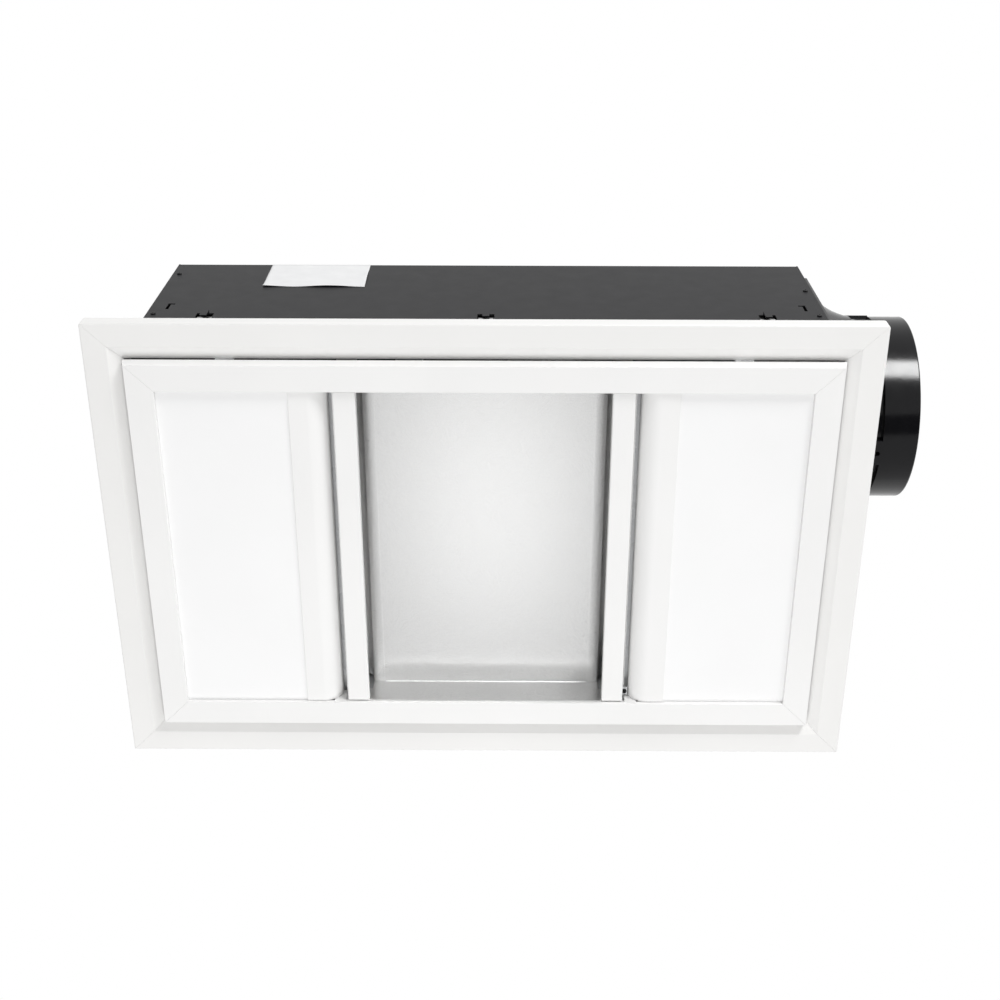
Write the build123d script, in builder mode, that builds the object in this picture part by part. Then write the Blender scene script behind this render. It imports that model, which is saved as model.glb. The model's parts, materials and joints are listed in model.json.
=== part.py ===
"""Ceiling-mounted bathroom heater, exhaust fan and light, built as separate pieces.

Millimetres. The origin is the centre of the trim frame's back face, where it
meets the underside of the ceiling. +Z is up into the roof space, the fascia
faces -Z, and the duct spigot points along +X.
"""
import os
from math import atan, cos, pi, radians, sin, sqrt, tan

from build123d import *

os.makedirs("parts", exist_ok=True)

# Trim frame, four mitred extrusions
trim_length = 600.0
trim_width = 384.0
trim_depth = 12.0
trim_face = 18.5
trim_slope = 11.0
trim_slope_rise = 5.7
trim_wall = 1.5
trim_edge_radius = 1.2
trim_corner_radius = 2.5
trim_foot = 6.0
trim_upstand = 14.0
mitre_gap = 0.05
key_leg = 32.0
key_width = 8.0
key_clearance = 0.2

# Centre panel, four mitred extrusions in front of the trim opening
panel_end_overlap = 1.0
panel_stand_off = 5.0
panel_depth = 8.0
panel_side_inset = 2.0
panel_face = 21.0
panel_wall = 1.4
panel_edge_radius = 0.5
panel_lip = 3.3
panel_flange = 10.0

# Light panels
diffuser_thickness = 2.0
diffuser_tuck = 6.5
guide_thickness = 2.3
guide_inset = 1.0
tray_sheet = 1.0
tray_margin = 3.0
tray_flange_inset = 6.5
led_board_thickness = 0.8
led_count = 22
led_chip = 2.0
led_chip_height = 0.7
layer_gap = 0.1

# Rounded profiles between the light panels and the heater slots
profile_flat_edge = 148.5
profile_round_start = 134.8
profile_round_rise = 11.2
profile_slot_edge = 119.8
profile_wall = 1.2
profile_lip = 10.0
profile_top = 2.0
profile_overlap = 8.5
slot_tab_gap = 0.3

# Housing
motor_head_room = 23.0
housing_sheet = 1.2
housing_trim_gap = 0.6
housing_seat_gap = 0.5
end_flange = 8.0
screw_edge = 4.5
screw_head_radius = 2.0
screw_head_height = 1.1
screw_shank_radius = 1.4
screw_length = 7.0
screw_recess_depth = 0.6
screw_recess_length = 2.6
screw_recess_width = 0.6
screw_hole_clearance = 0.05
left_screw_heights = (84.5, 189.0)
right_screw_heights = (84.5, 147.5)
top_screw_y = 110.0
fixing_hole_radius = 2.5
fixing_hole_height = 46.0
fixing_hole_x = 150.0

# Pressed bridges in the long walls that guide the fascia clips
bridge_spacing = 226.0
bridge_height = 81.0
bridge_width = 5.6
bridge_tall = 13.0
bridge_rise = 2.6
bridge_slot = 4.0
hook_slot_inset = 14.6
hook_slot_z = 103.0
hook_slot_leg = 5.6
hook_slot_tall = 14.0
hook_slot_width = 2.4

# Fascia clips and brackets
clip_width = 12.0
clip_sheet = 0.8
clip_foot_z = 3.0
clip_bend_z = 67.0
clip_peak_z = 80.0
clip_top_z = 91.0
clip_wall_gap = 0.3
bracket_width = 14.0
bracket_sheet = 1.5
bracket_foot = 12.0
bracket_rise = 12.0
bracket_clip_offset = 31.0
rivet_radius = 1.6
rivet_head_radius = 3.0
rivet_head_height = 0.9
rivet_z = 8.5

# Heater
bar_inner_edge = 97.3
bar_width = 17.1
bar_recess = 2.5
bar_depth = 8.5
bar_wall = 1.4
bar_edge_radius = 0.8
bar_end_gap = 1.0
reflector_sheet = 0.8
trough_radius = 10.0
trough_centre_x = 105.5
trough_centre_z = 18.0
trough_bottom = -4.0
shoulder_radius = 1.6
hem_flat_end = 89.6
hem_rise = 0.5
pan_half_width = 85.6
pan_low = 15.1
pan_bend = 1.0
pan_end_rise = 4.0
heat_box_half_x = 128.0
heat_box_top = 46.0
heat_box_bottom = 4.0
heat_box_sheet = 0.8
heat_box_rail_gap = 0.5
heat_box_lip_gap = 0.3
tube_radius = 5.0
tube_wall = 1.0
tube_z = 13.0
tube_hole_gap = 2.0
filament_radius = 1.6
cap_width = 14.0
cap_height = 18.0
cap_length = 17.0
cap_socket = 5.0
cap_clearance = 0.2
hanger_x = 60.0
hanger_width = 22.0
hanger_sheet = 1.5
hanger_turn_up = 16.0

# Blower
blower_gap = 12.0
adaptor_wall_gap = 1.8
impeller_setback = 164.6
impeller_offset_y = 88.0
impeller_radius = 80.0
impeller_height = 70.0
impeller_inner = 65.0
blade_count = 36
blade_thickness = 1.2
blade_angle = 35.0
impeller_plate = 2.0
hub_radius = 11.0
hub_length = 26.0
shaft_radius = 4.0
shaft_clearance = 0.05
scroll_height = 88.0
scroll_sheet = 1.5
scroll_cutoff_gap = 8.0
scroll_cutoff_angle = -50.0
scroll_mouth_half = 62.0
scroll_segments = 8
scroll_end_gap = 0.3
inlet_radius = 62.0
inlet_lip = 6.0
motor_radius = 43.0
motor_height = 40.0
motor_cap_radius = 30.0
motor_cap_height = 8.0
motor_fin_count = 18
motor_fin_depth = 2.5
motor_fin_width = 2.0
fan_post_radius = 5.0
grommet_radius = 8.0
grommet_height = 4.0

# Duct adaptor and spigot
adaptor_flange = 3.0
adaptor_flange_half_y = 84.0
adaptor_flange_half_z = 92.0
adaptor_corner = 6.0
adaptor_base_half_y = 77.0
adaptor_base_half_z = 85.0
adaptor_base_corner = 4.0
adaptor_flat_angle = 2.0
adaptor_run = 20.0
adaptor_end_radius = 76.0
adaptor_wall = 2.0
neck_outer = 71.0
neck_length = 24.0
spigot_radius = 75.0
spigot_wall = 2.5
spigot_start = 42.0
spigot_end = 70.2
spigot_rim_radius = 1.2
spigot_neck_gap = 0.2
lug_width = 22.0
lug_thickness = 3.0
lug_rise = 1.0
lug_count = 3
lug_first_angle = 157.0
lug_hole_radius = 2.0
lug_hole_from_ring = 3.4
lug_end_gap = 0.3
adaptor_screw_y = 72.0
adaptor_screw_z = 88.0

# Backdraft flap
flap_radius = 66.4
flap_thickness = 1.2
flap_pivot_rise = 30.0
flap_plane = 17.0
flap_barrel_radius = 3.2
flap_barrel_half = 42.0
pin_radius = 1.5
pin_clearance = 0.05
pin_end_inset = 0.5
pin_hole_clearance = 0.02
stop_radial = 3.5
stop_thickness = 1.5
stop_gap = 0.3

# Wiring
box_half_y = 55.0
box_depth = 72.0
box_top_gap = 21.0
wiring_box_tall = 74.0
box_wall = 2.0
terminal_count = 5
terminal_pitch = 12.0
terminal_depth = 22.0
terminal_height = 18.0
gland_bore = 5.0
gland_radius = 9.0
gland_flange_radius = 13.0
gland_length = 18.0
gland_flange = 3.0
driver_length = 110.0
driver_width = 46.0
driver_height = 28.0
driver_x = -110.0
driver_y = 70.0
capacitor_radius = 14.0
capacitor_length = 52.0
capacitor_x = -62.0
capacitor_y = -60.0
cutout_setback = 140.0
cutout_radius = 8.0
cutout_height = 9.0
cutout_tab = 1.0
cutout_blade = 6.0
cutout_blade_thickness = 0.8
wire_radius = 1.8
wire_bend = 8.0
wire_gap = 0.3
wire_bus_rise = 21.0
wire_box_rise = 28.0
wire_start_y = 30.0
wire_turn_run = 38.0
motor_wire_rise = 24.0

# Smaller details of the inner pieces
hem_gap = 0.4
pan_ledge = 3.6
trough_gap = 0.2
reflector_end_gap = 0.3
bar_bracket_sheet = 1.2
bar_bracket_edge = 0.5
bar_bracket_gap = 0.6
bar_bracket_foot = 13.0
bar_bracket_width = 15.0
bar_bracket_rise = 12.0
bar_ear_width = 7.0
bar_screw_offset = 2.2
bar_screw_inset = 4.7
filament_reach = 3.0
cap_corner = 1.5
impeller_floor_gap = 4.0
shaft_overhang = 2.0
shaft_end_gap = 0.5
fan_post_offsets = ((-68.0, 52.0), (60.0, 64.0), (-72.0, -68.0), (107.0, -103.0))
stop_cut_below = 6.0
stop_cut_inset = 0.3
terminal_inset = 36.6
terminal_hole = 2.2
gland_nose = 8.0
driver_corner = 2.0
capacitor_saddle = 3.0

# Rating label, left blank
label_left = -190.5
label_right = -104.0
label_height = 61.0
label_thickness = 0.2

# Planes and edges that several pieces share
half_l = trim_length / 2
half_w = trim_width / 2
trim_front = -trim_depth
panel_front = trim_front - panel_stand_off
panel_back = panel_front + panel_depth
leg_inner_x = half_l - trim_face - trim_slope
leg_inner_y = half_w - trim_face - trim_slope
panel_length = 2 * (leg_inner_x + panel_end_overlap)
panel_width = 2 * leg_inner_y
wall_inner_x = leg_inner_x + trim_wall + housing_trim_gap
wall_inner_y = leg_inner_y + trim_wall + housing_trim_gap
wall_outer_x = wall_inner_x + housing_sheet
wall_outer_y = wall_inner_y + housing_sheet
opening_x = panel_length / 2 - panel_side_inset - panel_face
opening_y = panel_width / 2 - panel_side_inset - panel_face
diffuser_front = panel_front + panel_lip + 2 * layer_gap
guide_front = diffuser_front + diffuser_thickness + layer_gap
profile_front = diffuser_front - layer_gap - profile_wall
bar_front = panel_front + bar_recess
bar_back = bar_front + bar_depth
bar_outer_edge = bar_inner_edge + bar_width
bar_mid = bar_inner_edge + bar_width / 2
heat_box_end_y = opening_y + heat_box_rail_gap
heat_box_end_bottom = panel_front + panel_lip + heat_box_lip_gap
pan_end_outer = heat_box_end_y - reflector_end_gap
pan_end_inner = pan_end_outer - reflector_sheet
bracket_end_y = pan_end_inner - layer_gap
bar_screw_x = bar_outer_edge + bar_screw_offset
bar_screw_y = bracket_end_y - bar_screw_inset
trough_outer_x = trough_centre_x + trough_radius + reflector_sheet
screw_x = wall_inner_x - screw_edge
screw_hole_radius = screw_shank_radius + screw_hole_clearance
adaptor_x = wall_outer_x
scroll_low = heat_box_top + blower_gap
scroll_high = scroll_low + scroll_height
duct_y = adaptor_flange_half_y + adaptor_wall_gap - wall_outer_y
duct_z = scroll_low + scroll_height / 2
impeller_x = wall_inner_x - impeller_setback
impeller_y = duct_y + impeller_offset_y
scroll_outer_y = duct_y - scroll_mouth_half
scroll_mouth_y = duct_y + scroll_mouth_half
fan_posts = [(impeller_x + x, impeller_y + y) for x, y in fan_post_offsets]
housing_height = scroll_high + motor_height + motor_cap_height + motor_head_room
hook_slot_x = wall_inner_x - hook_slot_inset
box_high = housing_height - box_top_gap
box_low = box_high - wiring_box_tall
cutout_x = impeller_x - cutout_setback
bracket_x = bridge_spacing - bracket_clip_offset
sides = {"near": (0, 1), "far": (0, -1), "left": (1, 0), "right": (-1, 0)}


def save(part, name):
    part.label = name
    export_step(part, f"parts/{name}.step")


def side_plane(side, half_x, half_y):
    """Section plane of a frame side: local x runs inwards, local y runs up."""
    inward_x, inward_y = sides[side]
    return Plane(
        origin=(-inward_x * half_x, -inward_y * half_y, 0),
        x_dir=(inward_x, inward_y, 0),
        z_dir=(inward_y, -inward_x, 0),
    )


def mitre_points(side, half_x, half_y):
    """Outline of the region that one mitred side may fill, seen from above."""
    meet = half_x - half_y
    if side in ("near", "far"):
        outline = [
            (-half_x + mitre_gap, -half_y),
            (half_x - mitre_gap, -half_y),
            (meet - mitre_gap, 0),
            (-meet + mitre_gap, 0),
        ]
        flip = 1 if side == "near" else -1
        return [(x, flip * y) for x, y in outline]
    outline = [
        (-half_x, -half_y + mitre_gap),
        (-meet - mitre_gap, 0),
        (-half_x, half_y - mitre_gap),
    ]
    flip = 1 if side == "left" else -1
    return [(flip * x, y) for x, y in outline]


def trim_section():
    """Extrusion section of the trim: foot, face, slope and upstand."""
    inner_edge = trim_face + trim_slope
    slope_top = trim_front + trim_slope_rise
    slope_angle = atan(trim_slope_rise / trim_slope)
    face_knee = trim_face - trim_wall * tan(slope_angle / 2)
    upstand_knee = slope_top + trim_wall * tan(pi / 4 - slope_angle / 2)
    with BuildSketch() as section:
        with BuildLine():
            Line((0, 0), (0, trim_front + trim_edge_radius))
            RadiusArc(
                (0, trim_front + trim_edge_radius),
                (trim_edge_radius, trim_front),
                -trim_edge_radius,
            )
            Line((trim_edge_radius, trim_front), (trim_face, trim_front))
            Line((trim_face, trim_front), (inner_edge, slope_top))
            Line((inner_edge, slope_top), (inner_edge, trim_upstand))
            Line((inner_edge, trim_upstand), (inner_edge - trim_wall, trim_upstand))
            Line((inner_edge - trim_wall, trim_upstand), (inner_edge - trim_wall, upstand_knee))
            Line((inner_edge - trim_wall, upstand_knee), (face_knee, trim_front + trim_wall))
            Line((face_knee, trim_front + trim_wall), (trim_wall, trim_front + trim_wall))
            Line((trim_wall, trim_front + trim_wall), (trim_wall, -trim_wall))
            Line((trim_wall, -trim_wall), (trim_foot, -trim_wall))
            Line((trim_foot, -trim_wall), (trim_foot, 0))
            Line((trim_foot, 0), (0, 0))
        make_face()
    return section.sketch


def panel_section():
    """Extrusion section of the panel frame: sloped side, face, lip and flange."""
    face_end = panel_side_inset + panel_face
    inner_floor = panel_front + panel_wall
    slope = panel_side_inset / panel_depth
    flange_under = panel_back - panel_wall
    wall_at_floor = panel_side_inset - slope * panel_wall + panel_wall
    wall_at_flange = slope * panel_wall + panel_wall
    with BuildSketch() as section:
        with BuildLine():
            Line((0, panel_back), (panel_side_inset, panel_front))
            Line((panel_side_inset, panel_front), (face_end - panel_edge_radius, panel_front))
            RadiusArc(
                (face_end - panel_edge_radius, panel_front),
                (face_end, panel_front + panel_edge_radius),
                -panel_edge_radius,
            )
            Line((face_end, panel_front + panel_edge_radius), (face_end, panel_front + panel_lip))
            Line((face_end, panel_front + panel_lip), (face_end - panel_wall, panel_front + panel_lip))
            Line((face_end - panel_wall, panel_front + panel_lip), (face_end - panel_wall, inner_floor))
            Line((face_end - panel_wall, inner_floor), (wall_at_floor, inner_floor))
            Line((wall_at_floor, inner_floor), (wall_at_flange, flange_under))
            Line((wall_at_flange, flange_under), (panel_flange, flange_under))
            Line((panel_flange, flange_under), (panel_flange, panel_back))
            Line((panel_flange, panel_back), (0, panel_back))
        make_face()
    return section.sketch


def mitred_rail(side, half_x, half_y, section):
    with BuildPart() as rail:
        with BuildSketch(side_plane(side, half_x, half_y)):
            add(section)
        extrude(amount=half_x, both=True)
        with BuildSketch(Plane.XY.offset(-trim_length / 2)):
            with BuildLine():
                Polyline(*mitre_points(side, half_x, half_y), close=True)
            make_face()
        extrude(amount=trim_length, mode=Mode.INTERSECT)
    return rail.part


def corner_keys(half_x, half_y, inset, low, high):
    """Four L-shaped keys inside the hollow corners of a mitred frame."""
    with BuildPart() as keys:
        with BuildSketch(Plane.XY.offset(low)):
            for sx in (-1, 1):
                for sy in (-1, 1):
                    corner_x = half_x - inset
                    corner_y = half_y - inset
                    with BuildLine():
                        Polyline(
                            (sx * corner_x, sy * corner_y),
                            (sx * (corner_x - key_leg), sy * corner_y),
                            (sx * (corner_x - key_leg), sy * (corner_y - key_width)),
                            (sx * (corner_x - key_width), sy * (corner_y - key_width)),
                            (sx * (corner_x - key_width), sy * (corner_y - key_leg)),
                            (sx * corner_x, sy * (corner_y - key_leg)),
                            close=True,
                        )
                    make_face()
        extrude(amount=high - low)
    return keys.part


def pan_screw(length, head_radius):
    """Pan-head screw: head above its origin, shank below."""
    with BuildPart() as screw:
        Cylinder(head_radius, screw_head_height, align=(Align.CENTER, Align.CENTER, Align.MIN))
        fillet(screw.edges().group_by(Axis.Z)[-1], screw_head_height / 2)
        with Locations((0, 0, screw_head_height - screw_recess_depth / 2)):
            Box(screw_recess_length, screw_recess_width, screw_recess_depth, mode=Mode.SUBTRACT)
            Box(screw_recess_width, screw_recess_length, screw_recess_depth, mode=Mode.SUBTRACT)
        Cylinder(screw_shank_radius, length, align=(Align.CENTER, Align.CENTER, Align.MAX))
    return screw.part


def wall_screw_places():
    """Screws through the long walls into the end flanges, heads outside."""
    places = []
    for sx, heights in ((-1, left_screw_heights), (1, right_screw_heights)):
        for sy in (-1, 1):
            for height in heights:
                places.append(Location((sx * screw_x, sy * wall_outer_y, height), (-90 * sy, 0, 0)))
    return places


def top_screw_places():
    """Screws through the top into the end flanges."""
    places = []
    for sx in (-1, 1):
        for sy in (-1, 1):
            places.append(Location((sx * screw_x, sy * top_screw_y, housing_height)))
    return places


def adaptor_screw_places():
    """Screws through the duct adaptor's flange into the right end wall."""
    face = adaptor_x + adaptor_flange
    places = []
    for sy in (-1, 1):
        for sz in (-1, 1):
            place = (face, duct_y + sy * adaptor_screw_y, duct_z + sz * adaptor_screw_z)
            places.append(Location(place, (0, 90, 0)))
    return places


def bar_screw_places():
    """Screws of the glare bars: three inside the channels, one beside the right bar."""
    places = [Location((bar_screw_x, bar_screw_y, bar_back), (180, 0, 0))]
    for sx, sy in ((-1, -1), (-1, 1), (1, -1)):
        places.append(Location((sx * bar_mid, sy * bar_screw_y, bar_back), (180, 0, 0)))
    return places


def clip_rivet_places():
    """Rivets through the spring clips and the long trim upstands, heads inside."""
    places = []
    for sy in (-1, 1):
        for step in (-1, 0, 1):
            place = (step * bridge_spacing, sy * (leg_inner_y - clip_sheet), rivet_z)
            places.append(Location(place, (90 * sy, 0, 0)))
    return places


def bracket_rivet_places():
    """Rivets through the panel brackets and the trim upstands, heads inside."""
    places = []
    for sy in (-1, 1):
        for sx in (-1, 1):
            place = (sx * bracket_x, sy * (leg_inner_y - bracket_sheet), rivet_z)
            places.append(Location(place, (90 * sy, 0, 0)))
    for sx in (-1, 1):
        places.append(Location((sx * (leg_inner_x - bracket_sheet), 0, rivet_z), (0, -90 * sx, 0)))
    return places


# Trim and centre panel frames, with tabs on the panel that close the ends of the heater slots
tab_in = trough_outer_x + slot_tab_gap
tab_out = profile_slot_edge + tray_flange_inset - slot_tab_gap
tab_low = panel_front + panel_wall
for side in sides:
    with BuildPart() as trim_rail:
        add(mitred_rail(side, half_l, half_w, trim_section()))
        with BuildSketch(Plane.XY.offset(trim_front)):
            RectangleRounded(trim_length, trim_width, trim_corner_radius)
        extrude(amount=trim_depth + trim_upstand, mode=Mode.INTERSECT)
        with Locations(*clip_rivet_places(), *bracket_rivet_places()):
            Cylinder(rivet_radius + screw_hole_clearance, 4 * trim_wall, mode=Mode.SUBTRACT)
    save(trim_rail.part, f"trim_rail_{side}")
    tab_y = -sides[side][1] * (opening_y + panel_wall / 2)
    with BuildPart() as panel_rail:
        add(mitred_rail(side, panel_length / 2, panel_width / 2, panel_section()))
        if tab_y:
            for sx in (-1, 1):
                with Locations((sx * (tab_in + tab_out) / 2, tab_y, (tab_low + profile_top) / 2)):
                    Box(tab_out - tab_in, panel_wall, profile_top - tab_low)
    save(panel_rail.part, f"panel_rail_{side}")

save(
    corner_keys(
        half_l,
        half_w,
        trim_wall + key_clearance,
        trim_front + trim_wall + key_clearance,
        -trim_wall - key_clearance,
    ),
    "trim_corner_keys",
)
save(
    corner_keys(
        panel_length / 2,
        panel_width / 2,
        panel_side_inset + panel_wall + key_clearance,
        panel_front + panel_wall + key_clearance,
        panel_back - panel_wall - key_clearance,
    ),
    "panel_corner_keys",
)


def light_panel(sign):
    """Diffuser, light guide, tray and rounded profile of one light."""
    hand = "left" if sign < 0 else "right"
    diffuser_in = profile_flat_edge - profile_overlap
    diffuser_out = opening_x + diffuser_tuck
    diffuser_y = opening_y + diffuser_tuck
    guide_in = diffuser_in + guide_inset
    guide_out = diffuser_out - guide_inset - led_board_thickness - led_chip_height
    tray_out = panel_length / 2 - tray_margin
    tray_in = profile_slot_edge + tray_flange_inset
    tray_y = panel_width / 2 - tray_margin

    with BuildPart() as diffuser:
        with BuildSketch(Plane.XY.offset(diffuser_front)):
            with Locations((sign * (diffuser_in + diffuser_out) / 2, 0)):
                Rectangle(diffuser_out - diffuser_in, 2 * diffuser_y)
        extrude(amount=diffuser_thickness)
    save(diffuser.part, f"led_diffuser_{hand}")

    with BuildPart() as guide:
        with BuildSketch(Plane.XY.offset(guide_front)):
            with Locations((sign * (guide_in + guide_out) / 2, 0)):
                Rectangle(guide_out - guide_in, 2 * (diffuser_y - guide_inset))
        extrude(amount=guide_thickness)
    save(guide.part, f"led_light_guide_{hand}")

    with BuildPart() as tray:
        with BuildSketch(Plane.XY.offset(panel_back)):
            with Locations((sign * (tray_in + tray_out) / 2, 0)):
                Rectangle(tray_out - tray_in, 2 * tray_y)
        extrude(amount=tray_sheet)
        with BuildSketch(Plane.XY.offset(panel_back)):
            with Locations((sign * (tray_in + tray_sheet / 2), 0)):
                Rectangle(tray_sheet, 2 * (opening_y - 1))
        extrude(amount=profile_top - profile_wall - layer_gap - panel_back)
    save(tray.part, f"led_tray_{hand}")

    board_x = guide_out + led_chip_height + led_board_thickness / 2
    chip_x = guide_out + led_chip_height / 2
    with BuildPart() as board:
        with Locations((sign * board_x, 0, guide_front + guide_thickness / 2)):
            Box(led_board_thickness, 2 * opening_y, guide_thickness)
        with Locations((sign * chip_x, 0, guide_front + guide_thickness / 2)):
            with GridLocations(1, 2 * opening_y / led_count, 1, led_count):
                Box(led_chip_height, led_chip, led_chip)
    save(board.part, f"led_strip_{hand}")

    round_run = profile_round_start - profile_slot_edge
    half_turn = atan(profile_round_rise / round_run)
    round_radius = round_run / sin(2 * half_turn)
    centre_z = profile_front + round_radius
    round_z = profile_front + profile_round_rise
    inner_radius = round_radius - profile_wall
    skin = profile_front + profile_wall
    slot_in = profile_slot_edge + profile_wall
    inner_z = centre_z - sqrt(inner_radius**2 - (profile_round_start - slot_in) ** 2)
    lip_end = profile_slot_edge + profile_lip
    with BuildPart() as profile:
        with BuildSketch(Plane.XZ):
            with BuildLine():
                Line((sign * profile_flat_edge, profile_front), (sign * profile_round_start, profile_front))
                ThreePointArc(
                    (sign * profile_round_start, profile_front),
                    (
                        sign * (profile_round_start - round_radius * sin(half_turn)),
                        centre_z - round_radius * cos(half_turn),
                    ),
                    (sign * profile_slot_edge, round_z),
                )
                Line((sign * profile_slot_edge, round_z), (sign * profile_slot_edge, profile_top))
                Line((sign * profile_slot_edge, profile_top), (sign * lip_end, profile_top))
                Line((sign * lip_end, profile_top), (sign * lip_end, profile_top - profile_wall))
                Line(
                    (sign * lip_end, profile_top - profile_wall),
                    (sign * slot_in, profile_top - profile_wall),
                )
                Line((sign * slot_in, profile_top - profile_wall), (sign * slot_in, inner_z))
                ThreePointArc(
                    (sign * slot_in, inner_z),
                    (
                        sign * (profile_round_start - inner_radius * sin(half_turn)),
                        centre_z - inner_radius * cos(half_turn),
                    ),
                    (sign * profile_round_start, skin),
                )
                Line((sign * profile_round_start, skin), (sign * profile_flat_edge, skin))
                Line((sign * profile_flat_edge, skin), (sign * profile_flat_edge, profile_front))
            make_face()
        extrude(amount=opening_y - 2 * layer_gap, both=True)
    save(profile.part, f"round_profile_{hand}")


light_panel(-1)
light_panel(1)

# Brackets that carry the centre panel from the trim's upstand, across the air gap
bracket_low = panel_back + tray_sheet
with BuildPart() as panel_brackets:
    for sx in (-1, 1):
        for sy in (-1, 1):
            with Locations(
                (sx * bracket_x, sy * (leg_inner_y - bracket_foot / 2), bracket_low + bracket_sheet / 2)
            ):
                Box(bracket_width, bracket_foot, bracket_sheet)
            with Locations(
                (sx * bracket_x, sy * (leg_inner_y - bracket_sheet / 2), (bracket_low + bracket_rise) / 2)
            ):
                Box(bracket_width, bracket_sheet, bracket_rise - bracket_low)
        with Locations((sx * (leg_inner_x - bracket_foot / 2), 0, bracket_low + bracket_sheet / 2)):
            Box(bracket_foot, bracket_width, bracket_sheet)
        with Locations((sx * (leg_inner_x - bracket_sheet / 2), 0, (bracket_low + bracket_rise) / 2)):
            Box(bracket_sheet, bracket_width, bracket_rise - bracket_low)
    with Locations(*bracket_rivet_places()):
        Cylinder(rivet_radius + screw_hole_clearance, 4 * bracket_sheet, mode=Mode.SUBTRACT)
save(panel_brackets.part, "panel_brackets")

# Spring strips that hold the fascia up inside the long walls
clip_back = leg_inner_y - clip_sheet
clip_peak = wall_inner_y - clip_wall_gap
with BuildPart() as fascia_clips:
    for sy in (-1, 1):
        for step in (-1, 0, 1):
            with BuildSketch(Plane.YZ.offset(step * bridge_spacing)):
                with BuildLine():
                    Polyline(
                        (sy * leg_inner_y, clip_foot_z),
                        (sy * leg_inner_y, clip_bend_z),
                        (sy * clip_peak, clip_peak_z),
                        (sy * leg_inner_y, clip_top_z),
                        (sy * clip_back, clip_top_z),
                        (sy * (clip_peak - clip_sheet), clip_peak_z),
                        (sy * clip_back, clip_bend_z),
                        (sy * clip_back, clip_foot_z),
                        close=True,
                    )
                make_face()
            extrude(amount=clip_width / 2, both=True)
    with Locations(*clip_rivet_places()):
        Cylinder(rivet_radius + screw_hole_clearance, 4 * clip_sheet, mode=Mode.SUBTRACT)
save(fascia_clips.part, "fascia_clips")


def rivet(grip):
    """Rivet with its head above its origin and its shank below."""
    with BuildPart() as body:
        Cylinder(rivet_head_radius, rivet_head_height, align=(Align.CENTER, Align.CENTER, Align.MIN))
        fillet(body.edges().group_by(Axis.Z)[-1], rivet_head_height / 2)
        Cylinder(rivet_radius, grip, align=(Align.CENTER, Align.CENTER, Align.MAX))
    return body.part


with BuildPart() as fascia_rivets:
    with Locations(*clip_rivet_places()):
        add(rivet(clip_sheet + trim_wall))
    with Locations(*bracket_rivet_places()):
        add(rivet(bracket_sheet + trim_wall))
save(fascia_rivets.part, "fascia_rivets")

# Housing shell: top and both long walls in one folded sheet
with BuildPart() as housing_shell:
    with BuildSketch(Plane.YZ.offset(-wall_inner_x)):
        with BuildLine():
            Polyline(
                (-wall_outer_y, housing_seat_gap),
                (-wall_outer_y, housing_height),
                (wall_outer_y, housing_height),
                (wall_outer_y, housing_seat_gap),
                (wall_inner_y, housing_seat_gap),
                (wall_inner_y, housing_height - housing_sheet),
                (-wall_inner_y, housing_height - housing_sheet),
                (-wall_inner_y, housing_seat_gap),
                close=True,
            )
        make_face()
    extrude(amount=2 * wall_inner_x)
    fold_edges = housing_shell.edges().filter_by(Axis.X).group_by(Axis.Z)[-1]
    fillet(fold_edges, housing_sheet)
    # Pressed bridges, each a strap raised between two slots and open below
    for sy in (-1, 1):
        for step in (-1, 0, 1):
            with Locations((step * bridge_spacing, sy * (wall_outer_y + bridge_rise / 2), bridge_height)):
                Box(bridge_width, bridge_rise, bridge_tall)
            slot_mid_z = bridge_height - housing_sheet / 2
            with Locations((step * bridge_spacing, sy * (wall_inner_y + bridge_rise / 2), slot_mid_z)):
                Box(
                    bridge_width + 2 * bridge_slot,
                    bridge_rise,
                    bridge_tall - housing_sheet,
                    mode=Mode.SUBTRACT,
                )
    # Hook slots near the ends, and the holes for the timber fixing screws
    for sx in (-1, 1):
        for sy in (-1, 1):
            wall_mid = sy * (wall_inner_y + housing_sheet / 2)
            leg_x = hook_slot_x + hook_slot_leg / 2 - hook_slot_width / 2
            arm_z = hook_slot_z + hook_slot_tall / 2 - hook_slot_width / 2
            with Locations((sx * leg_x, wall_mid, hook_slot_z)):
                Box(hook_slot_width, 2 * housing_sheet, hook_slot_tall, mode=Mode.SUBTRACT)
            with Locations((sx * hook_slot_x, wall_mid, arm_z)):
                Box(hook_slot_leg, 2 * housing_sheet, hook_slot_width, mode=Mode.SUBTRACT)
            with Locations(Location((sx * fixing_hole_x, wall_mid, fixing_hole_height), (90, 0, 0))):
                Cylinder(fixing_hole_radius, 2 * housing_sheet, mode=Mode.SUBTRACT)
    with Locations(*wall_screw_places(), *top_screw_places()):
        Cylinder(screw_hole_radius, 4 * housing_sheet, mode=Mode.SUBTRACT)
save(housing_shell.part, "housing_shell")


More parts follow.
